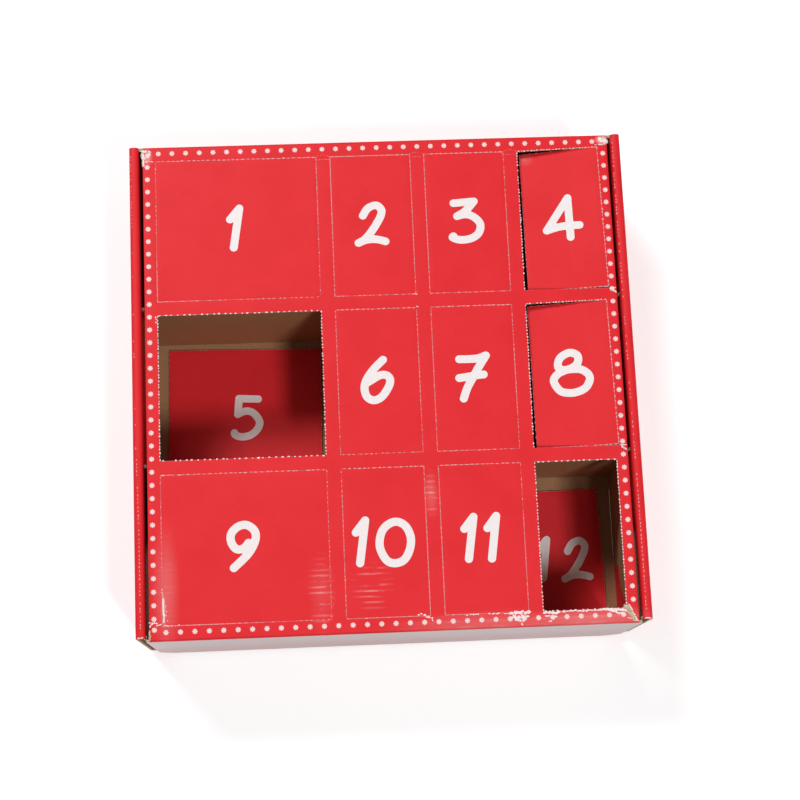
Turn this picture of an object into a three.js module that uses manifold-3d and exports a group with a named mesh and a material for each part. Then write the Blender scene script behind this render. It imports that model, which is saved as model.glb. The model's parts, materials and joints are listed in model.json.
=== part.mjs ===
// Cardboard advent calendar box: a roll-end mailer of fluted board whose lid is die-cut into
// twelve numbered doors over a grid of twelve cells.
// Millimetres, +Z up. Origin: centre of the underside. The lid's hinge is at +Y, the front at -Y.
// Every panel between two creases is a solid of its own.

import * as THREE from 'three';
import { mergeVertices } from 'three/addons/utils/BufferGeometryUtils.js';
import Module from 'manifold-3d';

const wasm = await Module();
wasm.setup();

// Board and the outer box
const board = 1.6;
const boxWidth = 290;
const boxDepth = 289;
const boxHeight = 92;

// Gaps: at a crease between two panels, round a piece that moves, and over the dividers
const crease = 0.3;
const clearance = 0.3;
const dividerHeadroom = 0.4;
// How far a cutting solid runs past what it cuts
const overrun = 5;

// Rolled side walls: two plies round a hollow that holds the corner tabs
const rollHollow = 2.6;
const footLength = 40;
const footSpacing = 150;

// Corner tabs of the front and back walls, folded into the hollow
const tabLength = 66;
const tabDrop = 4;
const tabRound = 12;
const neckHeight = 7.8;

// Front flap and the two ears that tuck in beside the lid
const flapGap = 0.4;
const flapLift = 2;
const flapCornerRound = 14;
const earLength = 65;
const earDepth = 62;
const earLobeRadius = 26;
const earTopDrop = 3.5;
const earNeckDepth = 24;
const earTopRound = 20;
const earFillet = 11;

// Doors: one wide column and three narrow ones, in equal rows, fill the lid between its margins
const columnWidthShares = [2, 1, 1, 1];
const rowCount = 3;
const doorStrip = 8.2;
const leftMargin = 7.4;
const rightMargin = 6.7;
const backMargin = 9.1;
const frontMargin = 8.5;
const nickPitch = 4.2;
const nickDepth = 0.5;
const nickWidth = 1.4;

// A pushed-in door leans into its cell, and has slipped and turned with the lid's torn edge.
// Lean and turn are in degrees
const pushedTilt = 5.5;
const pushedShift = [0.5, 0.2];
const pushedTurn = 1.3;

// The two torn-out doors: how far each lies off its hole, and its turn in degrees
const looseWideShift = [-1.8, -0.6];
const looseWideTurn = -1.1;
const looseNarrowShift = [1.5, -3.4];
const looseNarrowTurn = 1.3;

// Dividers: two strips across the box and three along it, half-lapped. Each strip across stands
// a little behind the middle of the lid's strip above it.
const backRowDividerShift = 0.7;
const frontRowDividerShift = 1.9;

const red = new THREE.MeshStandardMaterial({ color: 0xc8232e, roughness: 0.45, metalness: 0 });
const kraft = new THREE.MeshStandardMaterial({ color: 0xb28a5f, roughness: 0.85, metalness: 0 });
const pale = new THREE.MeshStandardMaterial({ color: 0xd8cfd0, roughness: 0.5, metalness: 0 });

// Places that follow from the sizes above
const sideX = boxWidth / 2;
const backY = boxDepth / 2;
const frontY = -boxDepth / 2;
const lidUnder = boxHeight - board;
const wallTop = lidUnder - crease;
const rollThickness = 2 * board + rollHollow;
const rollInnerX = sideX - rollThickness;
const earOuterX = rollInnerX - clearance;
const earInnerX = earOuterX - board;
const lidHalfWidth = earInnerX - clearance;
const frontWallOuterY = frontY + board + flapGap;
const frontWallInnerY = frontWallOuterY + board;
const backWallInnerY = backY - board;
const dividerTop = lidUnder - dividerHeadroom;

// Bases that stand a drawn outline up: across the box, or along it
const acrossBasis = new THREE.Matrix4().makeBasis(
  new THREE.Vector3(1, 0, 0), new THREE.Vector3(0, 0, 1), new THREE.Vector3(0, -1, 0));
const alongBasis = new THREE.Matrix4().makeBasis(
  new THREE.Vector3(0, 1, 0), new THREE.Vector3(0, 0, 1), new THREE.Vector3(1, 0, 0));

const arcSteps = 10;

function extrude(outline, depth) {
  return new THREE.ExtrudeGeometry(outline, { depth, bevelEnabled: false });
}

// A panel that faces the front: outline in X and Z, from y towards the back by its thickness
function panelAcross(outline, y, depth = board) {
  return extrude(outline, depth).applyMatrix4(acrossBasis).translate(0, y + depth, 0);
}

// A panel that faces the side: outline in Y and Z, from x to the right by its thickness
function panelAlong(outline, x, depth = board) {
  return extrude(outline, depth).applyMatrix4(alongBasis).translate(x, 0, 0);
}

function rectangle(left, bottom, right, top) {
  return polygon([[left, bottom], [right, bottom], [right, top], [left, top]]);
}

function polygon(points) {
  return new THREE.Shape(points.map(([x, y]) => new THREE.Vector2(x, y)));
}

// Points of an arc, from one angle to another in degrees
function arc(x, y, radius, from, to) {
  return Array.from({ length: arcSteps + 1 }, (_, i) => {
    const angle = THREE.MathUtils.degToRad(from + (to - from) * i / arcSteps);
    return [x + radius * Math.cos(angle), y + radius * Math.sin(angle)];
  });
}

function solidOf(geometry) {
  const bare = geometry.clone();
  bare.deleteAttribute('normal');
  bare.deleteAttribute('uv');
  const merged = mergeVertices(bare);
  return new wasm.Manifold(new wasm.Mesh({
    numProp: 3,
    vertProperties: new Float32Array(merged.attributes.position.array),
    triVerts: new Uint32Array(merged.index.array),
  }));
}

function geometryOf(solid) {
  const mesh = solid.getMesh();
  const geometry = new THREE.BufferGeometry();
  geometry.setAttribute('position', new THREE.BufferAttribute(mesh.vertProperties, 3));
  geometry.setIndex(new THREE.BufferAttribute(mesh.triVerts, 1));
  geometry.computeVertexNormals();
  return geometry;
}

function named(name, geometry, material) {
  const mesh = new THREE.Mesh(geometry, material);
  mesh.name = name;
  return mesh;
}

function group(name, x, y, z) {
  const made = new THREE.Group();
  made.name = name;
  made.position.set(x, y, z);
  return made;
}

// Mirror image of a geometry in the plane x = 0, with its faces still pointing out
function mirrored(geometry) {
  const copy = geometry.index ? geometry.toNonIndexed() : geometry.clone();
  copy.deleteAttribute('uv');
  copy.applyMatrix4(new THREE.Matrix4().makeScale(-1, 1, 1));
  const points = copy.attributes.position;
  for (let i = 0; i < points.count; i += 3) {
    const [x, y, z] = [points.getX(i), points.getY(i), points.getZ(i)];
    points.setXYZ(i, points.getX(i + 2), points.getY(i + 2), points.getZ(i + 2));
    points.setXYZ(i + 2, x, y, z);
  }
  copy.computeVertexNormals();
  return copy;
}

// Section of a flat panel between two folds, rounded off below or above them
function foldedBelow(left, right, bottom) {
  return polygon([
    ...arc(left + board, bottom + board, board, 180, 270),
    ...arc(right - board, bottom + board, board, 270, 360)]);
}

function foldedAbove(left, right, bottom) {
  return polygon([
    ...arc(right - board, bottom, board, 0, 90),
    ...arc(left + board, bottom, board, 90, 180)]);
}

// Floor: its four lower edges are folds, and four slots take the feet of the inner side walls
function floorPanel() {
  const depth = backY - frontWallOuterY;
  const across = panelAcross(foldedBelow(-sideX, sideX, 0), frontWallOuterY - overrun, depth + 2 * overrun);
  const along = panelAlong(
    foldedBelow(frontWallOuterY, backY, 0), -sideX - overrun, boxWidth + 2 * overrun);
  let floor = solidOf(across).intersect(solidOf(along));
  for (const side of [-1, 1]) {
    for (const end of [-1, 1]) {
      floor = floor.subtract(solidOf(footSlot(side, end)));
    }
  }
  return geometryOf(floor);
}

function footSlot(side, end) {
  const near = rollInnerX - clearance;
  const far = rollInnerX + board + clearance;
  const outline = rectangle(
    Math.min(side * near, side * far), footY(end) - footLength / 2 - clearance,
    Math.max(side * near, side * far), footY(end) + footLength / 2 + clearance);
  return extrude(outline, board + 2 * overrun).translate(0, 0, -overrun);
}

function footY(end) {
  return end * footSpacing / 2;
}

// Outer ply of a rolled side wall, from the floor to the fold on top
function outerPly() {
  return panelAlong(rectangle(frontWallOuterY, board, backY, wallTop), sideX - board);
}

// Narrow strip on top of a rolled wall, rounded into both plies. It ends over the back wall
function rollTop() {
  const length = backY - frontWallOuterY;
  return panelAcross(foldedAbove(rollInnerX, sideX, lidUnder), frontWallOuterY, length);
}

// Inner ply, with two feet that lock in the floor's slots
function innerPly() {
  const front = frontWallInnerY + crease;
  const back = backWallInnerY - crease;
  const points = [[front, board]];
  for (const end of [-1, 1]) {
    points.push([footY(end) - footLength / 2, board], [footY(end) - footLength / 2, 0]);
    points.push([footY(end) + footLength / 2, 0], [footY(end) + footLength / 2, board]);
  }
  points.push([back, board], [back, wallTop], [front, wallTop]);
  return panelAlong(polygon(points), rollInnerX);
}

// Corner tab of the front or back wall: rounded and narrowed towards its free end
function cornerTab(startY, towards) {
  const top = wallTop - tabDrop;
  const outline = [
    [0, board],
    ...arc(tabLength - tabRound, board + tabDrop + tabRound, tabRound, 270, 360),
    ...arc(tabLength - tabRound, top - tabDrop - tabRound, tabRound, 0, 90),
    [0, top]];
  return panelAlong(
    polygon(outline.map(([along, height]) => [startY + towards * along, height])),
    rollInnerX + rollThickness / 2 - board / 2);
}

// Front wall: cut back at both ends, above a low neck, so that the ears can swing past it
function frontWall() {
  const wide = sideX - board - crease;
  const neck = board + neckHeight;
  const outline = polygon([
    [-wide, board], [wide, board], [wide, neck], [lidHalfWidth, neck],
    [lidHalfWidth, wallTop], [-lidHalfWidth, wallTop], [-lidHalfWidth, neck], [-wide, neck]]);
  return panelAcross(outline, frontWallOuterY);
}

function backWall() {
  const wide = sideX - board - crease;
  return panelAcross(rectangle(-wide, board, wide, wallTop), backWallInnerY);
}

// Doors, by column and row: where each hole lies in the lid, seen from above
const doorTable = [
  { number: 1, column: 0, row: 0, hinge: 'left', state: 'closed' },
  { number: 2, column: 1, row: 0, hinge: 'right', state: 'closed' },
  { number: 3, column: 2, row: 0, hinge: 'right', state: 'closed' },
  { number: 4, column: 3, row: 0, hinge: 'right', state: 'pushed' },
  { number: 5, column: 0, row: 1, state: 'torn', shift: looseWideShift, turn: looseWideTurn },
  { number: 6, column: 1, row: 1, hinge: 'right', state: 'closed' },
  { number: 7, column: 2, row: 1, hinge: 'right', state: 'closed' },
  { number: 8, column: 3, row: 1, hinge: 'right', state: 'pushed' },
  { number: 9, column: 0, row: 2, hinge: 'left', state: 'closed' },
  { number: 10, column: 1, row: 2, hinge: 'right', state: 'closed' },
  { number: 11, column: 2, row: 2, hinge: 'right', state: 'closed' },
  { number: 12, column: 3, row: 2, state: 'torn', shift: looseNarrowShift, turn: looseNarrowTurn },
];

const columnStrips = (columnWidthShares.length - 1) * doorStrip;
const doorsWidth = 2 * lidHalfWidth - leftMargin - rightMargin - columnStrips;
const shareTotal = columnWidthShares.reduce((sum, share) => sum + share);
const columnWidths = columnWidthShares.map((share) => doorsWidth * share / shareTotal);
const doorHeight = (boxDepth - backMargin - frontMargin - (rowCount - 1) * doorStrip) / rowCount;

function doorHole({ column, row }) {
  const widthBefore = columnWidths.slice(0, column).reduce((sum, width) => sum + width, 0);
  const left = -lidHalfWidth + leftMargin + widthBefore + column * doorStrip;
  const back = backY - backMargin - row * (doorHeight + doorStrip);
  return { left, right: left + columnWidths[column], back, front: back - doorHeight };
}

// Where a place in a pushed door's hole goes as the door slips and turns. It is given from the
// hole's back left corner
function slipped(hole, x, y) {
  const turn = THREE.MathUtils.degToRad(pushedTurn);
  return [
    hole.left + pushedShift[0] + x * Math.cos(turn) - y * Math.sin(turn),
    hole.back + pushedShift[1] + x * Math.sin(turn) + y * Math.cos(turn)];
}

// Outlines that a door cuts in the lid: its hole, and the torn edge where a pushed door has slipped
function holeOutlines(door) {
  const hole = doorHole(door);
  const outlines = [rectangle(hole.left, hole.front, hole.right, hole.back)];
  if (door.state === 'pushed') {
    const width = hole.right - hole.left;
    outlines.push(polygon([
      slipped(hole, 0, -doorHeight), slipped(hole, width, -doorHeight),
      slipped(hole, width, 0), slipped(hole, 0, 0)]));
  }
  return outlines;
}

// Lid: a panel with a rounded fold along its back and front edges, and twelve door holes
function lidPanel() {
  let lid = solidOf(panelAlong(foldedAbove(frontY, backY, 0), -lidHalfWidth, 2 * lidHalfWidth));
  for (const outline of doorTable.flatMap(holeOutlines)) {
    const cut = extrude(outline, board + 2 * overrun);
    lid = lid.subtract(solidOf(cut.translate(0, 0, -overrun)));
  }
  return geometryOf(lid);
}

// One perforated edge of a door, from a to b: short cuts leave shallow nicks at an even pitch
function perforated(a, b, inward) {
  const length = Math.hypot(b[0] - a[0], b[1] - a[1]);
  const count = Math.max(1, Math.floor(length / nickPitch));
  const along = [(b[0] - a[0]) / length, (b[1] - a[1]) / length];
  const points = [];
  for (let i = 0; i < count; i++) {
    const middle = (i + 1 / 2) * length / count;
    for (const [offset, depth] of [[-nickWidth / 2, 0], [0, nickDepth], [nickWidth / 2, 0]]) {
      points.push([
        a[0] + along[0] * (middle + offset) + inward[0] * depth,
        a[1] + along[1] * (middle + offset) + inward[1] * depth]);
    }
  }
  return points;
}

// Door blank, drawn with its hinge side at x = 0 and the rest of it towards -x
function doorBlank(width, hinged) {
  const left = -width + clearance;
  const right = -clearance;
  const half = doorHeight / 2 - clearance;
  const points = [
    [left, -half], ...perforated([left, -half], [right, -half], [0, 1]), [right, -half]];
  if (!hinged) points.push(...perforated([right, -half], [right, half], [-1, 0]));
  points.push([right, half], ...perforated([right, half], [left, half], [0, -1]), [left, half]);
  points.push(...perforated([left, half], [left, -half], [1, 0]));
  return polygon(points);
}

function addDoor(door, box, lid) {
  const hole = doorHole(door);
  const width = hole.right - hole.left;
  const middleY = (hole.back + hole.front) / 2;
  const name = `door_${door.number}`;
  if (door.state === 'torn') {
    // Torn out whole, and lying number up on the floor of its own cell
    const [shiftX, shiftY] = door.shift;
    const loose = group('', (hole.left + hole.right) / 2 + shiftX, middleY + shiftY, board);
    loose.rotation.z = THREE.MathUtils.degToRad(door.turn);
    const blank = extrude(doorBlank(width, false), board).translate(width / 2, 0, 0);
    loose.add(named(name, blank, red));
    box.add(loose);
    return;
  }
  // The crease lies in the lid's top face
  const [hingeX, hingeY] = door.state === 'pushed'
    ? slipped(hole, width, -doorHeight / 2)
    : [door.hinge === 'right' ? hole.right : hole.left, middleY];
  const hinge = group('', hingeX, hingeY - backY, board);
  let blank = extrude(doorBlank(width, true), board).translate(0, 0, -board);
  if (door.hinge === 'left') blank = mirrored(blank);
  if (door.state === 'pushed') {
    hinge.rotation.set(
      0, THREE.MathUtils.degToRad(-pushedTilt), THREE.MathUtils.degToRad(pushedTurn), 'ZYX');
  }
  hinge.add(named(name, blank, red));
  lid.add(hinge);
}

// Ear on a flap's side: a neck on the flap and a round lobe that hangs behind the front wall
function ear() {
  const start = frontY + board;
  const end = start + earLength;
  const top = lidUnder - earTopDrop;
  const neckZ = lidUnder - earNeckDepth;
  const lobeY = end - earLobeRadius;
  const lobeZ = lidUnder - earDepth + earLobeRadius;
  return panelAlong(polygon([
    [start, top],
    [start, neckZ],
    ...arc(lobeY - earLobeRadius - earFillet, neckZ - earFillet, earFillet, 90, 0),
    ...arc(lobeY, lobeZ, earLobeRadius, 180, 360),
    ...arc(end - earTopRound, top - earTopRound, earTopRound, 0, 90)]), earInnerX);
}

function frontFlap() {
  const wide = earOuterX - flapCornerRound;
  const low = flapLift + flapCornerRound;
  return panelAcross(polygon([
    ...arc(-wide, low, flapCornerRound, 180, 270),
    ...arc(wide, low, flapCornerRound, 270, 360),
    [earOuterX, wallTop],
    [-earOuterX, wallTop]]), frontY);
}

// Dividers: slots from above in the two long strips, slots from below in the three that cross
function columnDividerX(index) {
  const left = doorHole({ column: index, row: 0 }).right;
  return left + doorStrip / 2;
}

function rowDividerY(index, shift) {
  return doorHole({ column: 0, row: index }).front - doorStrip / 2 + shift;
}

const backRowDividerY = rowDividerY(0, backRowDividerShift);
const frontRowDividerY = rowDividerY(1, frontRowDividerShift);
const slotHalf = board / 2 + clearance;
const lapHeight = (board + dividerTop) / 2;

function rowDivider(y) {
  const half = rollInnerX - clearance;
  const points = [[-half, board], [half, board], [half, dividerTop]];
  for (const index of [2, 1, 0]) {
    const x = columnDividerX(index);
    points.push([x + slotHalf, dividerTop], [x + slotHalf, lapHeight - clearance]);
    points.push([x - slotHalf, lapHeight - clearance], [x - slotHalf, dividerTop]);
  }
  points.push([-half, dividerTop]);
  return panelAcross(polygon(points), y - board / 2);
}

function columnDivider(index) {
  const front = frontWallInnerY + clearance;
  const back = backWallInnerY - clearance;
  const points = [[front, board]];
  for (const y of [frontRowDividerY, backRowDividerY]) {
    points.push([y - slotHalf, board], [y - slotHalf, lapHeight]);
    points.push([y + slotHalf, lapHeight], [y + slotHalf, board]);
  }
  points.push([back, board], [back, dividerTop], [front, dividerTop]);
  return panelAlong(polygon(points), columnDividerX(index) - board / 2);
}

// The box
const calendar = new THREE.Group();
calendar.name = 'advent_calendar_box';

calendar.add(named('floor_panel', floorPanel(), kraft));
calendar.add(named('front_wall', frontWall(), kraft));
calendar.add(named('back_wall', backWall(), red));

const sidePieces = {
  side_wall: [outerPly(), red],
  roll_top: [rollTop(), red],
  inner_wall: [innerPly(), red],
  front_tab: [cornerTab(frontWallInnerY + crease, 1), kraft],
  back_tab: [cornerTab(backWallInnerY - crease, -1), kraft],
};
for (const [name, [geometry, material]] of Object.entries(sidePieces)) {
  calendar.add(named(`${name}_right`, geometry, material));
  calendar.add(named(`${name}_left`, mirrored(geometry), material));
}

calendar.add(named('row_divider_back', rowDivider(backRowDividerY), kraft));
calendar.add(named('row_divider_front', rowDivider(frontRowDividerY), kraft));
['left', 'middle', 'right'].forEach((place, index) => {
  calendar.add(named(`column_divider_${place}`, columnDivider(index), kraft));
});

// The lid turns about the lower edge of its back fold
const lid = group('', 0, backY, lidUnder);
calendar.add(lid);
const lidMesh = named('lid_panel', lidPanel(), red);
lidMesh.position.y = -backY;
lid.add(lidMesh);
for (const door of doorTable) addDoor(door, calendar, lid);

// The flap turns about the lower edge of the lid's front fold
const flap = group('', 0, frontY - backY, 0);
lid.add(flap);
const flapPieces = {
  front_flap: [frontFlap(), pale],
  ear_right: [ear(), kraft],
  ear_left: [mirrored(ear()), kraft],
};
for (const [name, [geometry, material]] of Object.entries(flapPieces)) {
  const mesh = named(name, geometry, material);
  mesh.position.set(0, -frontY, -lidUnder);
  flap.add(mesh);
}

export default calendar;
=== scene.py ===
"""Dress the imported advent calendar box: printed fluted board, torn perforations, white numbers
and a border of stars, on a pale floor in soft light. Sizes are in mm until a mesh is made."""
import json
import math
import random

import bpy
import numpy as np
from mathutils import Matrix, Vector


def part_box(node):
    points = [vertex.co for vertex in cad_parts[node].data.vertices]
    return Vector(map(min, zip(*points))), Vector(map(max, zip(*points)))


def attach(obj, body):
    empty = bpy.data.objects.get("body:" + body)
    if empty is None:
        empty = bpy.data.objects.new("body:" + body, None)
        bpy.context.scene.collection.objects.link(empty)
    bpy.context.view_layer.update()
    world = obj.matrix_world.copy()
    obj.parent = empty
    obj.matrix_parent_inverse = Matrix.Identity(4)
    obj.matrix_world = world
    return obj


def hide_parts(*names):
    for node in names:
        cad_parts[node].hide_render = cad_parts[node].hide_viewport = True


MM = 0.001

# Camera: place, turn in degrees, and lens on a sensor of this width, fitted to the photograph
CAMERA_PLACE = (-36.96, -223.88, 1112.32)
CAMERA_TURN = (11.805, -2.0073, -2.4406)
CAMERA_LENS = 81.9
SENSOR_WIDTH = 36.0

# Board: its thickness, its creases, the gap round the doors of the frame, and its flutes' pitch
BOARD = 1.6
CREASE = 0.3
CLEARANCE = 0.3
FLUTE_PITCH = 3.2
# A sheet's materials, in the order of its list
FACE, BACK, ACROSS_FLUTES, ALONG_FLUTES, WORN_RIM = range(5)
# Step of the meshes, and a difference that doesn't count
MESH_STEP = 3.0
HAIR = 0.01
# Width of the worn rim along a cut edge, how far it drops, and the gap that is seen round a door
WORN_EDGE = 0.2
WORN_DROP = 0.03
DOOR_GAP = 0.05
INK_LIFT = 0.04

# Lid: its warp and the lengths of its waves
WARP = 0.06
WARP_X = 31.0
WARP_Y = 43.0
WARP_SLANT = 57.0
# How far its sides are pressed down and from how far in, and its folds in front and behind,
# which are nearly sharp on the inside
EDGE_PRESS = 0.35
EDGE_REACH = 1.6
EDGE_RINGS = 4
SHARP_FOLD = 0.08
FOLD_STEPS = 6

# Rolled side walls. The inner ply is bare before each row divider, up to a height.
ROLL_RADIUS = 2.5
ROLL_SAG = 0.07
ROLL_SAG_REACH = 12.0
ROLL_SAG_WAVE = 37.0
ROLL_RISE_STEPS = 11
ROLL_BEND_STEPS = 6
SHARP_BEND = 0.15
FOOT_LENGTH = 40.0
FOOT_SPACING = 150.0
BARE_LENGTH = 57.0
BARE_TOP = 78.0

# Front flap
FLAP_CORNER = 14.0
FLAP_CORNER_STEPS = 8
FLAP_COLUMNS = 72
FLAP_BOW = 0.8

# Doors that lean into their cells: x, y and depth of each corner of the face, in the order
# back left, back right, front right, front left; and how far the face dishes
LEANING = {
    4: ((85.0, 135.1, 5.6), (130.9, 136.9, 0.1), (132.5, 51.3, 0.1), (85.7, 50.7, 4.4)),
    8: ((84.6, 41.9, 5.2), (130.6, 43.4, 0.1), (132.2, -42.3, 0.1), (85.4, -42.5, 4.4)),
}
LEANING_BELLY = 0.5
# How far round a hole the lid's edge is pulled with such a door
PULL_REACH = 4.0

# Torn-out doors and their turn on the floor, in degrees; and how a torn door waves
LOOSE_TURNS = {5: -1.1, 12: 1.3}
LOOSE_WAVE = 0.25
LOOSE_WAVE_X = 14.0
LOOSE_WAVE_Y = 17.0

# Angles in degrees between faces that look sharp, on board and on scraps
SHARP_ANGLE = 20
SCRAP_SHARP_ANGLE = 60

# Thumb cuts between the back doors
THUMB_OVERLAP = 0.4
THUMB_DROP = 1.1
THUMB_RISE = 2.4
THUMB_SHELF = 0.5
THUMB_ARC_STEPS = 8

# Numbers, as strokes in a box from 0 to 1: kind of line, and its points
STROKES = {
    "0": [("loop", [(0, .41), (.07, .753), (.306, .95), (.6, 1), (.865, .868), (1, .594), (.94, .297),
                    (.747, .0685), (.453, 0), (.188, .09)])],
    "1": [("line", [(0, .72), (1, 1), (.32, 0)])],
    "2": [("curve", [(.2, .73), (.4, .93), (.7, 1), (.89, .88), (.87, .74), (.77, .59), (.55, .35),
                     (.25, .1), (0, 0)]),
          ("curve", [(0, 0), (.27, .075), (.55, .09), (.77, .07), (1, .02)])],
    "3": [("line", [(.085, .966), (.81, 1)]),
          ("curve", [(.81, 1), (.5, .76), (.19, .625)]),
          ("curve", [(.19, .625), (.47, .667), (.73, .616), (.955, .468), (1, .32), (.9, .152),
                     (.67, .046), (.386, .008), (.16, .025), (0, .076), (.03, .11)])],
    "4": [("line", [(.7, 1), (0, .21)]),
          ("curve", [(0, .21), (.24, .26), (.49, .29), (1, .29)]),
          ("line", [(.7, 1), (.705, 0)])],
    "5": [("line", [(.95, .98), (.19, 1), (.14, .585)]),
          ("curve", [(.14, .585), (.34, .65), (.59, .665), (.83, .57), (1, .377), (.92, .2), (.69, .058),
                     (.41, 0), (.17, .01), (.02, .06), (0, .105)])],
    "6": [("curve", [(.755, 1), (.4, .785), (.11, .54), (0, .32), (.08, .097), (.333, 0), (.648, .077),
                     (.93, .32), (1, .5), (.868, .61), (.616, .615), (.27, .5), (.11, .44)])],
    "7": [("curve", [(.035, .926), (.36, .922), (.657, .93), (.834, .957), (.994, .996)]),
          ("curve", [(.994, .996), (.716, .725), (.48, .473), (.272, .24), (.13, 0)]),
          ("curve", [(.006, .484), (.36, .512), (.657, .539), (.88, .55)])],
    "8": [("loop", [(.147, .696), (.223, .879), (.469, .992), (.67, .939), (.723, .818), (.647, .676),
                    (.424, .583), (.223, .595)]),
          ("loop", [(.004, .312), (.112, .474), (.335, .563), (.536, .583), (.781, .555), (.96, .433),
                    (.991, .291), (.87, .109), (.647, .016), (.402, 0), (.156, .069)])],
    "9": [("curve", [(.7, .575), (.5, .45), (.22, .44), (.02, .6), (.02, .8), (.28, .96), (.615, 1),
                     (.91, .89), (1, .735), (.91, .534), (.65, .3), (.096, 0)])],
}
STROKE_WIDTH = 4.6
CURVE_STEPS = 8
INK_STEP = 0.5
INK_MARGIN = 1.0

# Digits on each door: digit, offset of its middle from the door's, width and height
NUMBERS = {
    1: [("1", -1.4, 0.6, 10.2, 28.4)],
    2: [("2", -0.7, 0.5, 20.4, 27.2)],
    3: [("3", -0.4, 0.7, 21.2, 28.1)],
    4: [("4", -0.3, 0.9, 24.2, 28.6)],
    5: [("5", 0.8, -0.7, 20.2, 28.7)],
    6: [("6", -1.0, 0.3, 19.5, 28.2)],
    7: [("7", -1.0, 0.2, 20.8, 29.7)],
    8: [("8", -0.5, 1.0, 25.8, 28.5)],
    9: [("9", -1.1, 0.5, 18.7, 28.7)],
    10: [("1", -13.8, 0.5, 10.1, 28.7), ("0", 5.5, -0.6, 22.3, 28.0)],
    11: [("1", -7.7, 0.4, 10.1, 28.4), ("1", 5.3, 0.3, 9.9, 28.7)],
    12: [("1", -12.8, 0.7, 10.3, 28.1), ("2", 7.1, -0.8, 20.0, 27.5)],
}

# Stars
STAR_ROW_COUNT = 33
STAR_ROW_PITCH = 8.003
STAR_ROW_SHIFT = 0.272
STAR_ROWS_Y = (140.222, -139.543)
STAR_COLUMN_COUNT = 36
STAR_COLUMN_PITCH = 7.544
STAR_COLUMN_X = 134.339
STAR_COLUMN_BACK = 132.071
STAR_RIGHT_SHIFT = -0.09
CORNER_STARS = [(-134.0, 139.2), (-134.2, -138.0)]
STAR_POINTS = 8
STAR_OUTER = 1.7
STAR_INNER = 1.12

# Scraps of torn paper: points on the rim, height of the middle above the face, how far most of
# them stray from their line, and how they differ, as shares
SCRAP_RIM = 6
SCRAP_LIFT = 0.03
STRAY = 0.1
SIZE_SHARES = (0.75, 1.25)
RIM_SHARES = (0.65, 1.15)
RIM_TURN_SHARE = 0.3
PITCH_SHARE = 0.2
UNDERSIDE_SHARE = 0.6
# Row of scraps along an edge: pitch, size, the share that is there, and another stray
CUT_DASHES = (2.9, (2.2, 0.55, 0.2), 0.95)
CUT_SPECKS = (2.8, (1.1, 0.45, 0.2), 0.7)
CUT_TRACES = (3.15, (1.7, 0.42, 0.16), 0.75)
CREASE_DOTS = (2.4, (1.35, 0.85, 0.6), 0.95)
HOLE_BEADS = (3.4, (1.5, 0.9, 0.5), 0.95)
SIDE_BEADS = (1.9, (1.15, 0.85, 0.5), 0.9)
LOOSE_BEADS = (4.2, (0.8, 0.5, 0.4), 0.6)
THUMB_ARC_ROW = (1.3, (1.3, 0.4, 0.1), 0.95, 0.03)
THUMB_SHELF_ROW = (1.6, (1.6, 0.36, 0.1), 0.9)

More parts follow.
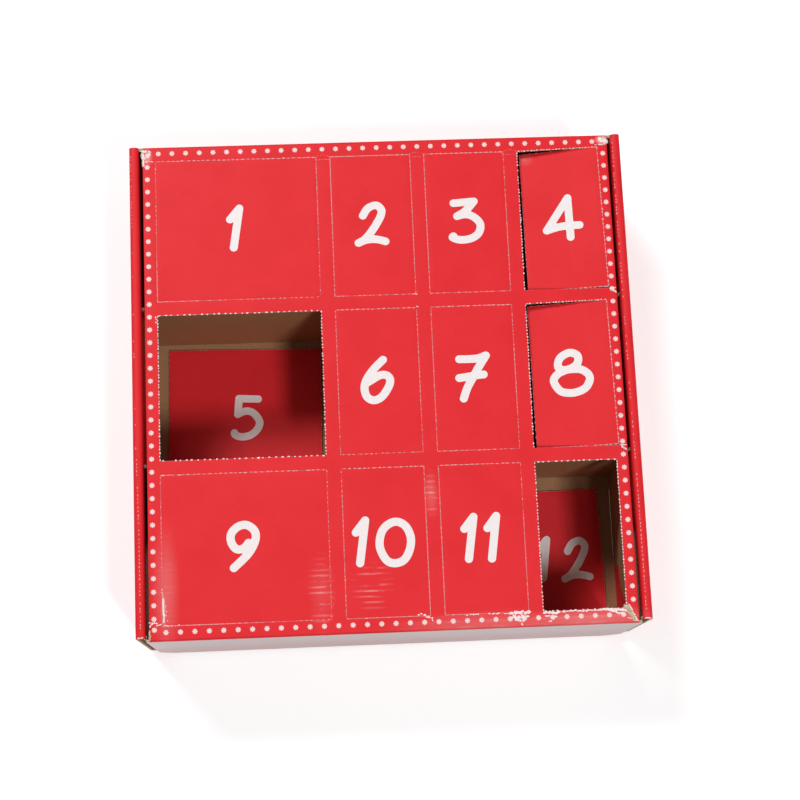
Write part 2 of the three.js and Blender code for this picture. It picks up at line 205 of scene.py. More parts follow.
# Worn lines on the lid: start, end, pitch, size of a scrap, share that is there, and stray
FLUFF_LINES = [
    ((-129.6, 135.4), (-135.4, 135.9), *CUT_DASHES),
    ((-136.9, 142.4), (-136.4, 133.4), 0.7, (2.4, 1.6, 0.4), 0.9, 0.6),
    ((-136.6, 142.4), (-132.0, 140.6), 0.8, (2.4, 1.6, 0.4), 0.9, 0.7),
    ((-135.8, 138.6), (-134.0, 134.6), 1.2, (1.8, 1.0, 0.3), 0.8, 0.6),
    ((131.4, 142.0), (136.8, 140.2), 0.7, (2.6, 2.0, 0.25), 0.95, 0.7),
    ((134.0, 140.2), (137.2, 139.0), 1.0, (2.0, 1.2, 0.25), 0.9, 0.6),
    ((129.4, 137.4), (136.0, 138.8), 1.4, (2.0, 0.7, 0.2), 0.9, 0.2),
    ((-136.8, -133.6), (-132.6, -134.7), 0.8, (1.5, 0.9, 0.25), 0.9, 0.4),
    ((-136.8, -136.0), (-135.4, -133.8), 0.8, (1.4, 0.9, 0.25), 0.9, 0.3),
    ((-133.2, -135.6), (-129.2, -134.6), 1.0, (1.8, 0.6, 0.25), 0.9, 0.2),
    ((-129.6, -114.0), (-129.2, -122.0), 1.3, (1.2, 0.6, 0.2), 0.6, 0.3),
    ((-129.2, -121.0), (-128.8, -133.0), 0.9, (2.6, 1.0, 0.25), 0.97, 0.15),
    ((-128.0, -124.0), (-126.6, -134.0), 1.6, (1.2, 0.5, 0.15), 0.6, 0.7),
    ((-129.2, -135.9), (-118.0, -135.6), 2.0, (1.6, 0.6, 0.2), 0.6, 0.3),
    ((13.0, -134.8), (20.5, -137.2), 0.9, (1.6, 0.9, 0.3), 0.9, 0.5),
    ((19.4, -136.4), (21.0, -139.4), 1.2, (1.4, 0.8, 0.3), 0.8, 0.4),
    ((38.0, -136.2), (64.0, -136.4), 1.3, (1.7, 0.7, 0.25), 0.75, 0.3),
    ((64.5, -136.4), (76.0, -136.2), 0.5, (2.0, 1.3, 0.4), 0.95, 0.7),
    ((65.5, -138.2), (74.5, -138.8), 0.5, (2.0, 1.4, 0.4), 0.95, 0.8),
    ((67.0, -140.2), (71.5, -141.0), 0.8, (1.6, 1.1, 0.35), 0.9, 0.6),
    ((70.0, -142.0), (71.2, -143.6), 1.0, (1.4, 0.8, 0.3), 0.9, 0.3),
    ((83.6, -136.6), (93.0, -137.0), 0.7, (2.0, 1.2, 0.35), 0.95, 0.5),
    ((84.0, -138.6), (90.0, -139.6), 0.9, (1.8, 1.0, 0.3), 0.9, 0.6),
    ((84.0, -141.2), (87.6, -141.8), 1.2, (1.4, 0.8, 0.25), 0.8, 0.3),
    ((93.0, -136.5), (118.0, -136.6), 1.0, (1.9, 0.8, 0.35), 0.85, 0.3),
    ((117.0, -136.2), (129.6, -137.0), 0.5, (2.4, 1.2, 0.35), 0.97, 0.4),
    ((121.0, -136.8), (129.0, -139.2), 0.6, (2.2, 1.2, 0.35), 0.95, 0.5),
    ((131.6, -134.4), (135.8, -142.6), 0.8, (2.2, 0.8, 0.35), 0.95, 0.3),
    ((131.0, -141.4), (136.4, -143.6), 1.2, (2.2, 0.6, 0.25), 0.9, 0.3),
    ((19.6, 42.9), (21.0, 42.6), 0.7, (1.0, 0.6, 0.3), 1.0, 0.3),
    ((18.6, 50.4), (20.6, 50.1), 0.7, (1.0, 0.6, 0.3), 1.0, 0.3),
    ((-131.0, 42.4), (-130.2, 38.0), 1.0, (1.2, 0.8, 0.3), 0.9, 0.3),
    ((132.2, 50.6), (136.4, 47.8), 0.7, (2.0, 0.9, 0.4), 0.95, 0.3),
    ((133.0, 50.6), (136.8, 50.2), 1.0, (1.6, 0.7, 0.3), 0.9, 0.2),
    ((132.0, -42.4), (136.2, -45.6), 0.7, (2.0, 0.9, 0.4), 0.95, 0.3),
    ((132.8, -42.6), (136.6, -42.8), 1.0, (1.6, 0.7, 0.3), 0.9, 0.2),
]
# The same where the board is bare
BARE_LINES = [
    ((-137.4, 142.0), (-137.0, 133.0), 1.2, (2.0, 0.9, 0.5), 0.8, 0.3),
    ((-137.0, -138.6), (-136.6, -143.4), 0.8, (1.8, 1.2, 0.4), 0.95, 0.3),
    ((129.6, -134.8), (134.2, -143.0), 0.5, (2.6, 2.0, 0.45), 1.0, 0.4),
    ((131.0, -134.6), (135.2, -142.4), 0.7, (2.2, 1.4, 0.45), 1.0, 0.4),
    ((133.6, 49.6), (136.2, 48.4), 0.9, (1.6, 0.8, 0.5), 0.9, 0.3),
    ((133.2, -43.4), (135.6, -44.8), 0.9, (1.6, 0.8, 0.5), 0.9, 0.3),
]

# Cracks in the ink of the rolled walls, from back to front: distance from the middle, y, and the
# share that is there up to the next place
ROLL_CRACKS = {
    "left": [(143.9, 140.0, 0.9), (143.9, 95.0, 0.15), (143.3, -29.0, 0.7), (142.1, -81.0, 0.95),
             (141.9, -138.0, 0)],
    "right": [(140.2, 140.0, 0.8), (140.4, 48.0, 0.4), (140.6, -12.0, 0.7), (141.2, -66.0, 0.95),
              (141.3, -138.0, 0)],
}
CRACK_PITCH = 2.3
CRACK_SIZE = (1.3, 0.5, 0.2)
# Torn plies over the front end of each rolled wall
ROLL_END = ((140.4, -142.0), (143.8, -142.0))
ROLL_END_ROW = (0.7, (1.7, 0.7, 0.3), 0.95, 0.2)

# Places where the print is rubbed: middle, reach to each side, how much, and its pale haze
RUBBED = [
    ((-40.8, -121.0, 92.0), (9.0, 26.0, 6.0), 0.32, 0.05),
    ((-12.0, -117.5, 92.0), (14.0, 19.0, 6.0), 0.36, 0.0),
    ((23.2, -67.5, 92.0), (5.0, 16.0, 6.0), 0.34, 0.12),
    ((53.0, -141.5, 91.5), (70.0, 8.0, 5.0), 0.1, 0.14),
    ((112.0, -141.5, 91.5), (44.0, 9.0, 5.0), 0.1, 0.2),
    ((-127.5, -116.0, 92.0), (9.0, 44.0, 6.0), 0.05, 0.15),
    ((88.5, 131.5, 88.0), (6.0, 5.0, 6.0), 0.2, 0.12),
    ((134.8, 141.2, 91.5), (6.0, 4.0, 6.0), 0.0, 1.0),
    ((-134.5, 138.5, 91.5), (4.0, 7.0, 6.0), 0.0, 0.5),
    ((-128.9, -127.0, 92.0), (1.6, 12.0, 6.0), 0.0, 0.5),
]

# Heights between which the flap's coating turns pinker downward, and places between which the
# worn edges turn stronger to the right
PINK_HEIGHTS = (55.0, 20.0)
FADED_PLACES = (-34.0, -28.0)

# Depth of the relief of each surface
PRINT_RELIEF = 0.08
KRAFT_RELIEF = 0.05
COATING_RELIEF = 0.01
INK_RELIEF = 0.03
TORN_RELIEF = 0.05
FLUTED_RELIEF = 0.5
LONG_EDGE_RELIEF = 0.3
KEPT_RELIEF = 0.04

# Colours, as linear values
RED = (0.80, 0.016, 0.024)
DEEP_RED = (0.76, 0.011, 0.018)
KRAFT = (0.42, 0.215, 0.10)
# DARK_KRAFT is the darker tone of kraft fibres; on cut edges it is also painted shade, in the open flutes
DARK_KRAFT = (0.16, 0.085, 0.042)
# SHADED_KRAFT is painted shade: kraft as dark as it looks in shade, put on the cut edges of ears and
# dividers together with DARK_KRAFT
SHADED_KRAFT = (0.07, 0.03, 0.02)
PALE = (0.66, 0.57, 0.575)
PINK = (0.74, 0.36, 0.36)
TORN_WHITE = (0.93, 0.89, 0.88)
BLUSH = (0.88, 0.62, 0.60)
PLY = (0.62, 0.52, 0.35)
DARK_PLY = (0.34, 0.26, 0.16)
FLOOR_WHITE = (0.92, 0.92, 0.92)
INK = (0.90, 0.82, 0.82)
STAR_INK = (0.94, 0.65, 0.64)
PALE_STAR_INK = (0.94, 0.74, 0.73)

# Where a material's pattern lies: in the object's space, or in the UV map of a sheet
ON_OBJECT = ("ShaderNodeTexCoord", "Object")
ON_SHEET = ("ShaderNodeUVMap", "UV")

# Studio: the floor's glow, its reach and its drop below the box; each lamp's place, size and
# power in watts; and the strength of the world
FLOOR_GLOW = 0.38
FLOOR_REACH = 30000.0
FLOOR_DROP = 0.3
LAMPS = {
    "front_lamp": ((540, -1000, 2090), (260, 500), 22.5),
    "back_lamp": ((-820, 1260, 2090), (980, 420), 34),
}
WORLD_STRENGTH = 0.2


def mm_box(node):
    low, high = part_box(node)
    return np.array(low) / MM, np.array(high) / MM


def new_object(name, data):
    made = bpy.data.objects.new(name, data)
    bpy.context.scene.collection.objects.link(made)
    return made


# Shader nodes


def connect(tree, socket, source):
    """Link a socket to a source, or set it to a value."""
    if isinstance(source, bpy.types.NodeSocket):
        tree.links.new(source, socket)
    else:
        socket.default_value = source


def add(tree, kind, settings=None, **sources):
    """New node; a source is a value or a socket to link, under the input's name."""
    made = tree.nodes.new(kind)
    for setting, value in (settings or {}).items():
        setattr(made, setting, value)
    for name, source in sources.items():
        connect(tree, made.inputs[name.replace("_", " ")], source)
    return made


def surface(tree, **sources):
    """Set or link inputs of the material's own shader."""
    for name, source in sources.items():
        connect(tree, tree.nodes["Principled BSDF"].inputs[name.replace("_", " ")], source)


def maths(tree, operation, *sources):
    made = add(tree, "ShaderNodeMath", {"operation": operation})
    for socket, source in zip(made.inputs, sources):
        connect(tree, socket, source)
    return made.outputs[0]


def apart(tree, first, second):
    return maths(tree, "ABSOLUTE", maths(tree, "SUBTRACT", first, second))


def summed(tree, first, second, share):
    """Sum of two values, the first by this share and the second by the rest."""
    rest = maths(tree, "MULTIPLY", second, 1 - share)
    return maths(tree, "MULTIPLY_ADD", first, share, rest)


def opaque(colour):
    return colour if isinstance(colour, bpy.types.NodeSocket) else (*colour, 1.0)


def mixed(tree, factor, first, second):
    made = add(tree, "ShaderNodeMix", {"data_type": "RGBA"})
    for i, source in ((0, factor), (6, opaque(first)), (7, opaque(second))):
        connect(tree, made.inputs[i], source)
    return made.outputs[2]


def between(tree, value, low, high):
    """0 up to low, 1 from high on, and smooth between them; turned round where high is lower."""
    return add(tree, "ShaderNodeMapRange", {"interpolation_type": "SMOOTHSTEP"},
               Value=value, From_Min=low, From_Max=high).outputs[0]


def noise(tree, place, scale, detail=3.0, roughness=0.55):
    """Noise with one scale, or with one for each side."""
    if isinstance(scale, tuple):
        place = add(tree, "ShaderNodeMapping", Vector=place, Scale=scale).outputs[0]
        scale = 1.0
    return add(tree, "ShaderNodeTexNoise", Vector=place, Scale=scale, Detail=detail,
               Roughness=roughness).outputs["Fac"]


def coordinate(tree, place, axis):
    return add(tree, "ShaderNodeSeparateXYZ", Vector=place).outputs[axis]


def near(tree, place, middle, reach):
    """1 at a spot, fading to 0 at its reach to each side. Both are in mm."""
    middle, reach = np.array(middle) * MM, np.array(reach) * MM
    moved = add(tree, "ShaderNodeMapping", Vector=place, Location=-middle / reach, Scale=1 / reach)
    length = add(tree, "ShaderNodeVectorMath", {"operation": "LENGTH"}, Vector=moved.outputs[0])
    return between(tree, length.outputs["Value"], 1.0, 0.0)


def bump(tree, height, depth, **sources):
    made = add(tree, "ShaderNodeBump", Height=height, Distance=depth * MM, Strength=1.0, **sources)
    surface(tree, Normal=made.outputs[0])


# Materials


def new_material(name, dress, *details, places=ON_OBJECT):
    """Material dressed by a function, which gets places on the object or on its sheets."""
    material = bpy.data.materials.new(name)
    material.use_nodes = True
    tree = material.node_tree
    kind, output = places
    dress(tree, add(tree, kind).outputs[output], *details)
    return material


def washboard(tree, along):
    """Waves of the fluted middle ply, as they show through the outer ply."""
    return maths(tree, "SINE", maths(tree, "MULTIPLY", along, 2 * math.pi / (FLUTE_PITCH * MM)))


def middle_ply(tree, across, along):
    """1 on the waved middle ply of a cut edge, where across runs from 0 to 1 over the board."""
    wave = maths(tree, "MULTIPLY_ADD", washboard(tree, along), 0.34, 0.5)
    return between(tree, apart(tree, across, wave), 0.2, 0.1)


def print_colour(tree, place):
    """Ink that lies a little unevenly on the board."""
    amount = summed(tree, noise(tree, place, 45.0, 4.0), noise(tree, place, 900.0, 2.0), 0.7)
    return mixed(tree, between(tree, amount, 0.35, 0.7), RED, DEEP_RED)


def red_print(tree, place):
    """Satin red ink. It is rubbed thin in streaks, along the flutes that show through it."""
    waves = washboard(tree, coordinate(tree, place, "Y"))
    blotches = between(tree, noise(tree, place, (70.0, 260.0, 70.0)), 0.44, 0.6)
    scuffs = maths(tree, "MULTIPLY", between(tree, waves, 0.0, 0.9), blotches)
    colour = print_colour(tree, place)
    for middle, reach, amount, haze in RUBBED:
        spot = near(tree, place, middle, reach)
        worn = maths(tree, "MULTIPLY", spot, maths(tree, "MULTIPLY_ADD", scuffs, amount, haze))
        colour = mixed(tree, worn, colour, BLUSH)
    surface(tree, Base_Color=colour, Roughness=0.55, Specular_IOR_Level=0.3)
    bump(tree, maths(tree, "MULTIPLY_ADD", waves, 0.02, noise(tree, place, 70.0)), PRINT_RELIEF)


def kraft_board(tree, place):
    fibres = noise(tree, place, (300.0, 1500.0, 900.0), 4.0, 0.65)
    amount = summed(tree, fibres, noise(tree, place, 60.0), 0.6)
    colour = mixed(tree, between(tree, amount, 0.3, 0.7), DARK_KRAFT, KRAFT)
    surface(tree, Base_Color=mixed(tree, 0.7, colour, KRAFT), Roughness=0.85)
    bump(tree, fibres, KRAFT_RELIEF)


def pale_coating(tree, place):
    height = coordinate(tree, place, "Z")
    top, bottom = PINK_HEIGHTS
    clouds = noise(tree, place, (25.0, 25.0, 60.0), 4.0)
    amount = maths(tree, "ADD", between(tree, height, top * MM, bottom * MM), clouds)
    surface(tree, Base_Color=mixed(tree, maths(tree, "MULTIPLY", amount, 0.3), PALE, PINK), Roughness=0.5)
    bump(tree, washboard(tree, height), COATING_RELIEF)


def pale_ink(tree, place, first, second):
    flecks = between(tree, noise(tree, place, 500.0), 0.45, 0.75)
    surface(tree, Base_Color=mixed(tree, flecks, first, second), Roughness=0.5)
    bump(tree, noise(tree, place, 300.0), INK_RELIEF)


def worn_edge(tree, place):
    """Cut edge of the printed face, where the ink has come off in flecks, fewer on the left."""
    left, right = FADED_PLACES
    side = between(tree, coordinate(tree, place, "X"), left * MM, right * MM)
    share = maths(tree, "MULTIPLY_ADD", side, 0.33, 0.27)
    flecks = maths(tree, "ADD", noise(tree, place, 500.0, 4.0, 0.7), noise(tree, place, 14.0, 1.0))
    faded = mixed(tree, maths(tree, "MULTIPLY", between(tree, flecks, 0.7, 1.05), share), RED, PINK)
    surface(tree, Base_Color=mixed(tree, between(tree, flecks, 1.05, 1.3), faded, PINK), Roughness=0.7)


def torn_paper(tree, place, first, second):
    fibres = noise(tree, place, 1200.0, 4.0, 0.7)
    surface(tree, Base_Color=mixed(tree, between(tree, fibres, 0.3, 0.6), first, second), Roughness=0.9)
    bump(tree, fibres, TORN_RELIEF)


def fluted_edge(tree, place):
    """Board cut across its flutes: the middle ply waves between the two outer ones, and the open flutes
    between them are painted dark, as painted shade.
    """
    along, across = (coordinate(tree, place, axis) for axis in "XY")
    rim = between(tree, apart(tree, across, 0.5), 0.33, 0.4)
    paper = maths(tree, "MAXIMUM", middle_ply(tree, across, along), rim)
    surface(tree, Base_Color=mixed(tree, paper, DARK_KRAFT, PLY), Roughness=0.9)
    bump(tree, paper, FLUTED_RELIEF)


def long_edge(tree, place):
    """Board cut along its flutes."""
    streaks = noise(tree, place, (120.0, 3.0, 1.0), 4.0, 0.6)
    colour = mixed(tree, between(tree, streaks, 0.35, 0.6), DARK_PLY, PLY)
    surface(tree, Base_Color=colour, Roughness=0.9)
    bump(tree, streaks, LONG_EDGE_RELIEF)


def kept_board(tree, place, axis, start, colours, edge):
    """Board of a kept piece: one colour on its high side, one on its low side, and on its edges the
    middle ply against a darker colour. That darker colour is painted shade of the open flutes, and on
    ears and dividers both edge colours are painted shade.
    """
    normal = add(tree, "ShaderNodeNewGeometry").outputs["True Normal"]
    to_object = {"vector_type": "NORMAL", "convert_from": "WORLD", "convert_to": "OBJECT"}
    turned = add(tree, "ShaderNodeVectorTransform", to_object, Vector=normal)
    facing = coordinate(tree, turned.outputs[0], axis)
    depth = maths(tree, "SUBTRACT", coordinate(tree, place, axis), start * MM)
    along = maths(tree, "ADD", *[coordinate(tree, place, other) for other in "XYZ" if other != axis])
    ply = middle_ply(tree, maths(tree, "DIVIDE", depth, BOARD * MM), along)
    fibres = noise(tree, place, (300.0, 900.0, 900.0), 4.0, 0.65)
    brown = mixed(tree, between(tree, fibres, 0.2, 0.8), DARK_KRAFT, KRAFT)
    faces = {"red": print_colour(tree, place), "kraft": mixed(tree, 0.7, brown, KRAFT), "pale": PALE}
    high, low = colours
    colour = mixed(tree, between(tree, facing, 0.4, 0.6), mixed(tree, ply, *edge), faces[high])
    colour = mixed(tree, between(tree, facing, -0.4, -0.6), colour, faces[low])
    surface(tree, Base_Color=colour, Roughness=0.7)
    bump(tree, fibres, KEPT_RELIEF, Normal=normal)


# Meshes


def steps(start, stop, step, fixed=()):
    """Grid lines from start to stop, about a step apart, that pass through the fixed places."""
    marks = sorted({start, stop, *[place for place in fixed if start < place < stop]})
    made = []
    for low, high in zip(marks, marks[1:]):
        count = max(1, round((high - low) / step))
        made += [low + (high - low) * i / count for i in range(count)]
    return np.array(made + [stop])


def new_piece(name, body, points, faces, materials, indices=None, uvs=None, sharp=SHARP_ANGLE):
    """Mesh piece from points in mm, that rides on a body of the frame."""
    mesh = bpy.data.meshes.new(name)
    mesh.from_pydata((np.asarray(points, float) * MM).tolist(), [], faces)
    for material in materials:
        mesh.materials.append(material)
    if indices is not None:
        mesh.polygons.foreach_set("material_index", indices)
    if uvs is not None:
        layer = mesh.uv_layers.new(name="UVMap")
        layer.data.foreach_set("uv", np.asarray(uvs, float).ravel())
    mesh.polygons.foreach_set("use_smooth", [True] * len(mesh.polygons))
    mesh.set_sharp_from_angle(angle=math.radians(sharp))
    mesh.validate()
    piece = new_object(name, mesh)
    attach(piece, body)
    return piece


def points_of(x, y, z):
    return np.stack(np.broadcast_arrays(x, y, z), axis=-1)


def within(places, low, high, margin=0):
    """Which places lie between low and high, with a margin to both sides."""
    return (places > low - margin) & (places < high + margin)


def run_along(grid, axis):
    """How far each point of a grid has come along one of its axes."""
    lengths = np.linalg.norm(np.diff(grid, axis=axis), axis=2)
    return np.insert(np.cumsum(lengths, axis=axis), 0, 0, axis=axis)


def sheet_of_board(name, body, face, back, materials, present=None, worn=None):
    """Board between two grids of points, open where cells aren't present, with a worn rim."""
    cells = (face.shape[0] - 1, face.shape[1] - 1)
    present = np.ones(cells, bool) if present is None else present
    worn = np.zeros(cells, bool) if worn is None else worn
    around = np.pad(present, 1)
    across = face.shape[1]
    count = face.shape[0] * across
    lengths_u, lengths_v = (run_along(face, axis) * MM for axis in (0, 1))
    faces, indices, uvs = [], [], []

    def add_face(corners, index, places):
        faces.append(corners)
        indices.append(index)
        uvs.extend(places)

    for i, j in zip(*np.nonzero(present)):
        ring = [(i, j), (i + 1, j), (i + 1, j + 1), (i, j + 1)]
        top = [int(a * across + b) for a, b in ring]
        places = [(lengths_u[a, b], lengths_v[a, b]) for a, b in ring]
        add_face(top, WORN_RIM if worn[i, j] else FACE, places)
        add_face([count + corner for corner in top[::-1]], BACK, places[::-1])
        for side, (di, dj) in enumerate([(0, -1), (1, 0), (0, 1), (-1, 0)]):
            if around[i + 1 + di, j + 1 + dj]:
                continue
            after = (side + 1) % 4
            along = lengths_u if dj else lengths_v
            start, end = along[ring[side]], along[ring[after]]
            corners = [top[side], count + top[side], count + top[after], top[after]]
            places = [(start, 1), (start, 0), (end, 0), (end, 1)]
            add_face(corners, ACROSS_FLUTES if di else ALONG_FLUTES, places)
    points = np.concatenate([face.reshape(-1, 3), back.reshape(-1, 3)])
    used, renumbered = np.unique(np.array(faces), return_inverse=True)
    faces = renumbered.reshape(-1, 4).tolist()
    return new_piece(name, body, points[used], faces, materials, indices, uvs)


# Places in the lid


def door_holes():
    """Holes in the lid by door number, each as left, right, front and back."""
    rows = [mm_box(f"door_{number}") for number in (2, 6, 10)]
    columns = [mm_box(f"door_{number}") for number in (1, 2, 3)]
    hinges = {joint["name"]: joint["pos_m"][0] / MM
              for joint in frame["joints"] if joint["type"] == "hinge"}
    spans = [(low[0] - CLEARANCE, high[0] + CLEARANCE) for low, high in columns]
    spans[0] = (hinges["door_1_hinge"], spans[0][1])
    for column, number in ((1, 2), (2, 3)):
        spans[column] = (spans[column][0], hinges[f"door_{number}_hinge"])
    pitch = spans[2][0] - spans[1][0]
    spans.append((spans[2][0] + pitch, spans[2][1] + pitch))
    holes = {}
    for row, (low, high) in enumerate(rows):
        for column, (left, right) in enumerate(spans):
            number = row * len(spans) + column + 1
            holes[number] = (left, right, low[1] - CLEARANCE, high[1] + CLEARANCE)
    return holes


def warp(x, y):
    """How far the lid's face lies off flat, always below it: board is never quite even."""
    slow = np.sin(x / WARP_X + 0.7) * np.cos(y / WARP_Y) + np.sin((x + y) / WARP_SLANT + 2.0)
    return -2 * WARP - WARP * slow


def face_level(x, y):
    """Height of the lid's face, which is pressed down along both sides."""
    share = np.clip((np.abs(x) - LID_HALF_WIDTH + EDGE_REACH) / EDGE_REACH, 0, 1)
    return LID_TOP + warp(x, y) - EDGE_PRESS * share ** 2


def pulled(x, y):
    """Where places of the lid end up round the holes of the leaning doors."""
    for number, corners in LEANING.items():
        left, right, front, back = HOLES[number]
        share_x = np.clip((x - left) / (right - left), 0, 1)
        share_y = np.clip((y - front) / (back - front), 0, 1)
        away_x = np.maximum(np.maximum(left - x, x - right), 0)
        away_y = np.maximum(np.maximum(front - y, y - back), 0)
        pull = share_x * np.clip(1 - np.hypot(away_x, away_y) / PULL_REACH, 0, 1)
        back_x, front_x = corners[1][0] - right, corners[2][0] - right
        x = x + pull * (front_x + (back_x - front_x) * share_y)
        y = y + pull * share_y * (corners[1][1] - back)
    return x, y


def lid_place(x, y, height):
    """Places on the lid, at a height above its face."""
    x, y = pulled(x, y)
    return points_of(x, y, face_level(x, y) + height)


def level_place(number):
    """Places level with the lid, as on a closed door: x and y from the middle of its hole."""
    left, right, front, back = HOLES[number]

    def place(x, y, height):
        return lid_place(x + (left + right) / 2, y + (front + back) / 2, height)
    return place


def pushed_place(number):
    """The same on a door that leans into its cell, between its four corners."""
    left, right, front, back = HOLES[number]
    back_left, back_right, front_right, front_left = (
        np.array([x, y, LID_TOP - depth]) for x, y, depth in LEANING[number])
    out = np.cross(back_right - front_left, back_left - front_right)
    out = out / np.linalg.norm(out)

    def place(x, y, height):
        share_x = np.asarray(x / (right - left) + 0.5)[..., None]
        share_y = np.asarray(y / (back - front) + 0.5)[..., None]
        behind = back_left + (back_right - back_left) * share_x
        before = front_left + (front_right - front_left) * share_x
        belly = LEANING_BELLY * np.sin(np.pi * share_x) * np.sin(np.pi * np.clip(share_y, 0, 1))
        return before + (behind - before) * share_y + out * (np.asarray(height)[..., None] - belly)
    return place


def loose_place(number):
    """The same on a door that lies on the floor of its cell."""
    low, high = mm_box(f"door_{number}")
    middle_x, middle_y = (low[:2] + high[:2]) / 2
    angle = math.radians(LOOSE_TURNS[number])

    def place(x, y, height):
        waves = np.sin(x / LOOSE_WAVE_X + 1) * np.cos(y / LOOSE_WAVE_Y)
        lie = LOOSE_WAVE + LOOSE_WAVE * waves
        across = middle_x + x * math.cos(angle) - y * math.sin(angle)
        along = middle_y + x * math.sin(angle) + y * math.cos(angle)
        return points_of(across, along, high[2] + height + lie)
    return place


def door_place(number):
    if number in LEANING:
        return pushed_place(number)
    return loose_place(number) if number in LOOSE_TURNS else level_place(number)


# Box


def folded_over(sheet, flat, radius):
    """A sheet of the lid with arcs added that fold down along its front and back edges."""
    fold = np.linspace(0, math.pi / 2, FOLD_STEPS + 1)[1:]
    out, down = flat + radius * np.sin(fold), radius * (1 - np.cos(fold))
    x = sheet[:, :1, 0]
    front = points_of(x, -out[::-1], sheet[:, :1, 2] - down[::-1])
    behind = points_of(x, out, sheet[:, -1:, 2] - down)
    return np.concatenate([front, sheet, behind], axis=1)


def add_lid():
    flat = LID_HALF_DEPTH - BOARD
    rings = (-WORN_EDGE, 0, WORN_EDGE)
    marks_x = [edge + ring for hole in HOLES.values() for edge in hole[:2] for ring in rings]
    marks_y = [edge + ring for hole in HOLES.values() for edge in hole[2:] for ring in rings]
    pressed = np.linspace(0, EDGE_REACH, EDGE_RINGS + 1)[1:]
    marks_x += [end * (LID_HALF_WIDTH - inward) for end in (-1, 1) for inward in pressed]
    x = steps(-LID_HALF_WIDTH, LID_HALF_WIDTH, MESH_STEP, marks_x)
    y = steps(-flat, flat, MESH_STEP, marks_y)
    grid = np.meshgrid(x, y, indexing="ij")
    top = folded_over(points_of(*pulled(*grid), face_level(*grid)), flat, BOARD)
    bottom = folded_over(points_of(*pulled(*grid), LID_TOP + warp(*grid) - BOARD), flat, SHARP_FOLD)
    all_y = top[0, :, 1]
    mid_x, mid_y = (x[1:] + x[:-1]) / 2, (all_y[1:] + all_y[:-1]) / 2
    present = np.ones((len(mid_x), len(mid_y)), bool)
    worn = np.zeros_like(present)
    for left, right, front, back in HOLES.values():
        present[np.ix_(within(mid_x, left, right), within(mid_y, front, back))] = False
        worn[np.ix_(within(mid_x, left, right, WORN_EDGE), within(mid_y, front, back, WORN_EDGE))] = True
        rim = np.ix_(within(x, left, right, HAIR), within(all_y, front, back, HAIR), [2])
        top[rim] -= WORN_DROP / 2
    piece = sheet_of_board("lid_board", "lid", top, bottom, PRINTED_BOARD, present, worn)
    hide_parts("lid_panel")


def roll_section(side_x, inner_x, top, depth):
    """Section of a rolled wall: up the outside, over the top, down the inside, and into a foot."""
    outer, inner, crown = side_x - depth, inner_x + depth, top - depth
    bend = max(ROLL_RADIUS - depth, SHARP_BEND)
    rise = np.linspace(BOARD, top - ROLL_RADIUS, ROLL_RISE_STEPS + 1)[:-1]
    quarter = bend * (1 - np.cos(np.linspace(0, math.pi / 2, ROLL_BEND_STEPS + 1)))
    points = [(outer, z) for z in rise]
    points += [(outer - across, crown - down) for across, down in zip(quarter, quarter[::-1])]
    points += [(inner + across, crown - down) for across, down in zip(quarter[::-1], quarter)]
    points += [(inner, z) for z in rise[::-1]]
    return np.array(points + [(inner, 0.0)])


def roll_sag(side, y):
    return ROLL_SAG * (1 + np.sin(y / ROLL_SAG_WAVE + side))


def add_rolled_wall(side):
    """One bent sheet: the outer ply, the narrow top, and the inner ply with its two feet."""
    name = "right" if side > 0 else "left"
    outer_low, outer_high = mm_box(f"side_wall_{name}")
    inner_low, inner_high = mm_box(f"inner_wall_{name}")
    top = mm_box(f"roll_top_{name}")[1][2]
    side_x = max(abs(outer_low[0]), abs(outer_high[0]))
    inner_x = min(abs(inner_low[0]), abs(inner_high[0]))
    dividers = [mm_box(f"row_divider_{row}")[0][1] for row in ("back", "front")]
    marks = [end * FOOT_SPACING / 2 + half * FOOT_LENGTH / 2 for end in (-1, 1) for half in (-1, 1)]
    marks += [end - length for end in dividers for length in (0, BARE_LENGTH)]
    marks += [inner_low[1], inner_high[1]]
    y = steps(outer_low[1], outer_high[1], 2 * MESH_STEP, marks)
    sheets = []
    for depth in (0, BOARD):
        section = roll_section(side_x, inner_x, top, depth)
        over = np.clip((section[:, 1] - top + ROLL_SAG_REACH) / ROLL_SAG_REACH, 0, 1)
        sag = roll_sag(side, y)[:, None] * over
        sheets.append(points_of(side * section[:, 0], y[:, None], section[:, 1] - sag))
    middle_y = (y[1:] + y[:-1]) / 2
    cells = np.arange(sheets[0].shape[1] - 1)
    inside = cells > len(cells) - 2 - ROLL_RISE_STEPS
    present = np.ones((len(middle_y), len(cells)), bool)
    present[np.ix_(~within(middle_y, inner_low[1], inner_high[1]), inside)] = False
    off_foot = np.abs(np.abs(middle_y) - FOOT_SPACING / 2) > FOOT_LENGTH / 2
    present[off_foot, -1] = False
    bare = np.zeros_like(present)
    low_cells = inside & (section[:-1, 1] < BARE_TOP)
    for end in dividers:
        bare[np.ix_(within(middle_y, end - BARE_LENGTH, end), low_cells)] = True
    turn = slice(None, None, -side)
    face, back = (sheet[turn] for sheet in sheets)
    piece = sheet_of_board(f"rolled_wall_{name}", "box", face, back, ROLLED_BOARD,
                           present[turn], bare[turn])
    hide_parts(f"side_wall_{name}", f"roll_top_{name}", f"inner_wall_{name}")


def roll_height(side, x, y):
    """Height of a rolled wall's top, x from the middle of the box."""
    low, high = mm_box("roll_top_right")
    edge = np.minimum(x - low[0], high[0] - x)
    from_crown = np.clip(ROLL_RADIUS - edge, 0, None)
    dip = ROLL_RADIUS - np.sqrt(np.maximum(ROLL_RADIUS ** 2 - from_crown ** 2, 0))
    return high[2] - dip - roll_sag(side, y)


